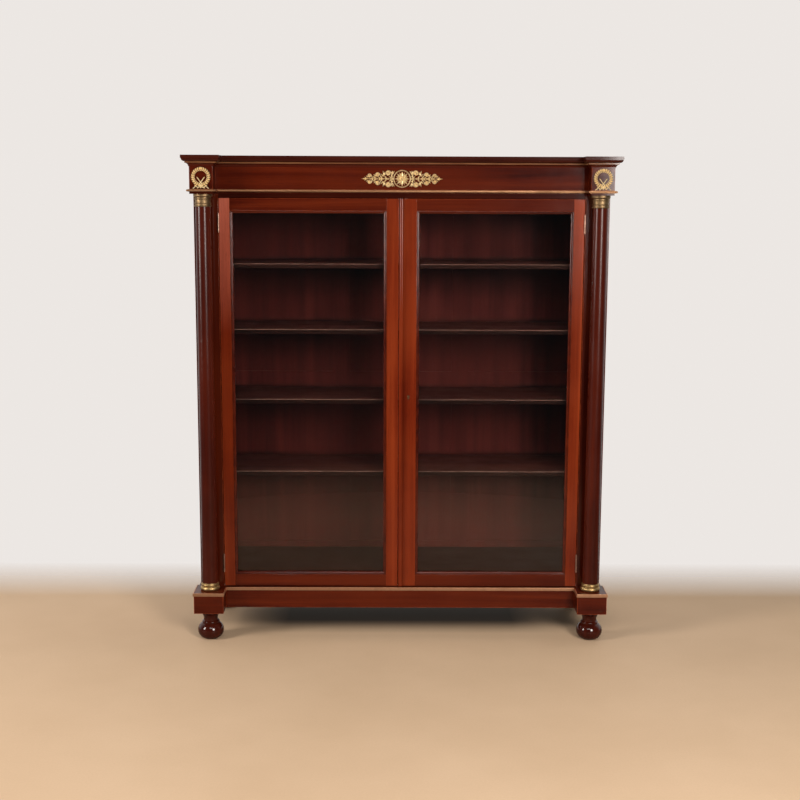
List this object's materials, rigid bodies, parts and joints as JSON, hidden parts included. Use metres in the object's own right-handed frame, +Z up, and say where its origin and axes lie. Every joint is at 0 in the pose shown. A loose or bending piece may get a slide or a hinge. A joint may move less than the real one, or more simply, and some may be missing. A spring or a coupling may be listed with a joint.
{
  "type": "bookcase with adjustable shelves",
  "caption": "Glazed two-door bookcase: cornice and frieze over free-standing corner columns, adjustable shelves on pins, plinth on ball feet.",
  "frame": {"origin": "on the floor, in the middle of the outer box", "axes": "+Z up; the doors face -Y; +X is to the right of someone facing the doors"},
  "size_m": [1.426, 0.457, 1.633],
  "materials": {
    "mahogany": "french polished",
    "dark_mahogany": "french polished",
    "inside_wood": "stained, low sheen",
    "gilt_bronze": "gilt, rubbed",
    "old_brass": "lacquered, tarnished",
    "pane_glass": "clear polished"
  },
  "bodies": {
    "case": {"architrave_slab": "mahogany", "back_frame": "inside_wood", "back_panels": "inside_wood", "bottom_board": "inside_wood", "bottom_rail": "inside_wood", "capital_left": "gilt_bronze", "capital_right": "gilt_bronze", "centre_mount": "gilt_bronze", "column_base_left": "old_brass", "column_base_right": "old_brass", "column_left": "dark_mahogany", "column_right": "dark_mahogany", "cornice_moulding": "mahogany", "cornice_top": "mahogany", "face_stile_left": "mahogany", "face_stile_right": "mahogany", "feet_front": "dark_mahogany", "feet_rear": "dark_mahogany", "frieze_bead": "old_brass", "frieze_block_left": "mahogany", "frieze_block_right": "mahogany", "frieze_board": "mahogany", "frieze_rear_boards": "mahogany", "header_rail": "mahogany", "hinge_leaves_case": "old_brass", "hinge_pins": "old_brass", "plinth_apron": "mahogany", "plinth_block_left": "mahogany", "plinth_block_right": "mahogany", "plinth_brass_strip": "old_brass", "plinth_rear_frame": "mahogany", "shelf_pins": "old_brass", "side_panel_left": "mahogany", "side_panel_right": "mahogany", "top_board": "inside_wood", "wreath_left": "gilt_bronze", "wreath_right": "gilt_bronze"},
    "left_door": {"left_door_glass": "pane_glass", "left_door_glazing_beads": "mahogany", "left_door_moulding": "mahogany", "left_door_rails": "mahogany", "left_door_stiles": "mahogany", "hinge_leaves_left": "old_brass", "bolt_guides": "old_brass"},
    "right_door": {"right_door_glass": "pane_glass", "right_door_glazing_beads": "mahogany", "right_door_moulding": "mahogany", "right_door_rails": "mahogany", "right_door_stiles": "mahogany", "hinge_leaves_right": "old_brass", "meeting_bead": "mahogany", "lock_case": "old_brass", "keyhole_liner": "old_brass"},
    "lock_bolt": {"lock_bolt": "old_brass"},
    "top_bolt": {"top_bolt": "old_brass"},
    "bottom_bolt": {"bottom_bolt": "old_brass"},
    "shelf_1": {"shelf_1": "inside_wood"},
    "shelf_2": {"shelf_2": "inside_wood"},
    "shelf_3": {"shelf_3": "inside_wood"},
    "shelf_4": {"shelf_4": "inside_wood"}
  },
  "joints": [
    {"name": "left_door_hinge", "type": "hinge", "parent": "case", "child": "left_door", "pos_m": [-0.6056, -0.1362, 0.8355], "axis": [0, 0, -1], "range_deg": [0, 105]},
    {"name": "right_door_hinge", "type": "hinge", "parent": "case", "child": "right_door", "pos_m": [0.6056, -0.1362, 0.8355], "axis": [0, 0, 1], "range_deg": [0, 105]},
    {"name": "lock_bolt_slide", "type": "slide", "parent": "right_door", "child": "lock_bolt", "axis": [-1, 0, 0], "range_m": [0, 0.009]},
    {"name": "top_bolt_slide", "type": "slide", "parent": "left_door", "child": "top_bolt", "axis": [0, 0, 1], "range_m": [0, 0.012]},
    {"name": "bottom_bolt_slide", "type": "slide", "parent": "left_door", "child": "bottom_bolt", "axis": [0, 0, -1], "range_m": [0, 0.012]},
    {"name": "shelf_1_lift", "type": "slide", "parent": "case", "child": "shelf_1", "axis": [0, 0, 1], "range_m": [0, 0.06]},
    {"name": "shelf_2_lift", "type": "slide", "parent": "case", "child": "shelf_2", "axis": [0, 0, 1], "range_m": [0, 0.06]},
    {"name": "shelf_3_lift", "type": "slide", "parent": "case", "child": "shelf_3", "axis": [0, 0, 1], "range_m": [0, 0.06]},
    {"name": "shelf_4_lift", "type": "slide", "parent": "case", "child": "shelf_4", "axis": [0, 0, 1], "range_m": [0, 0.06]}
  ]
}
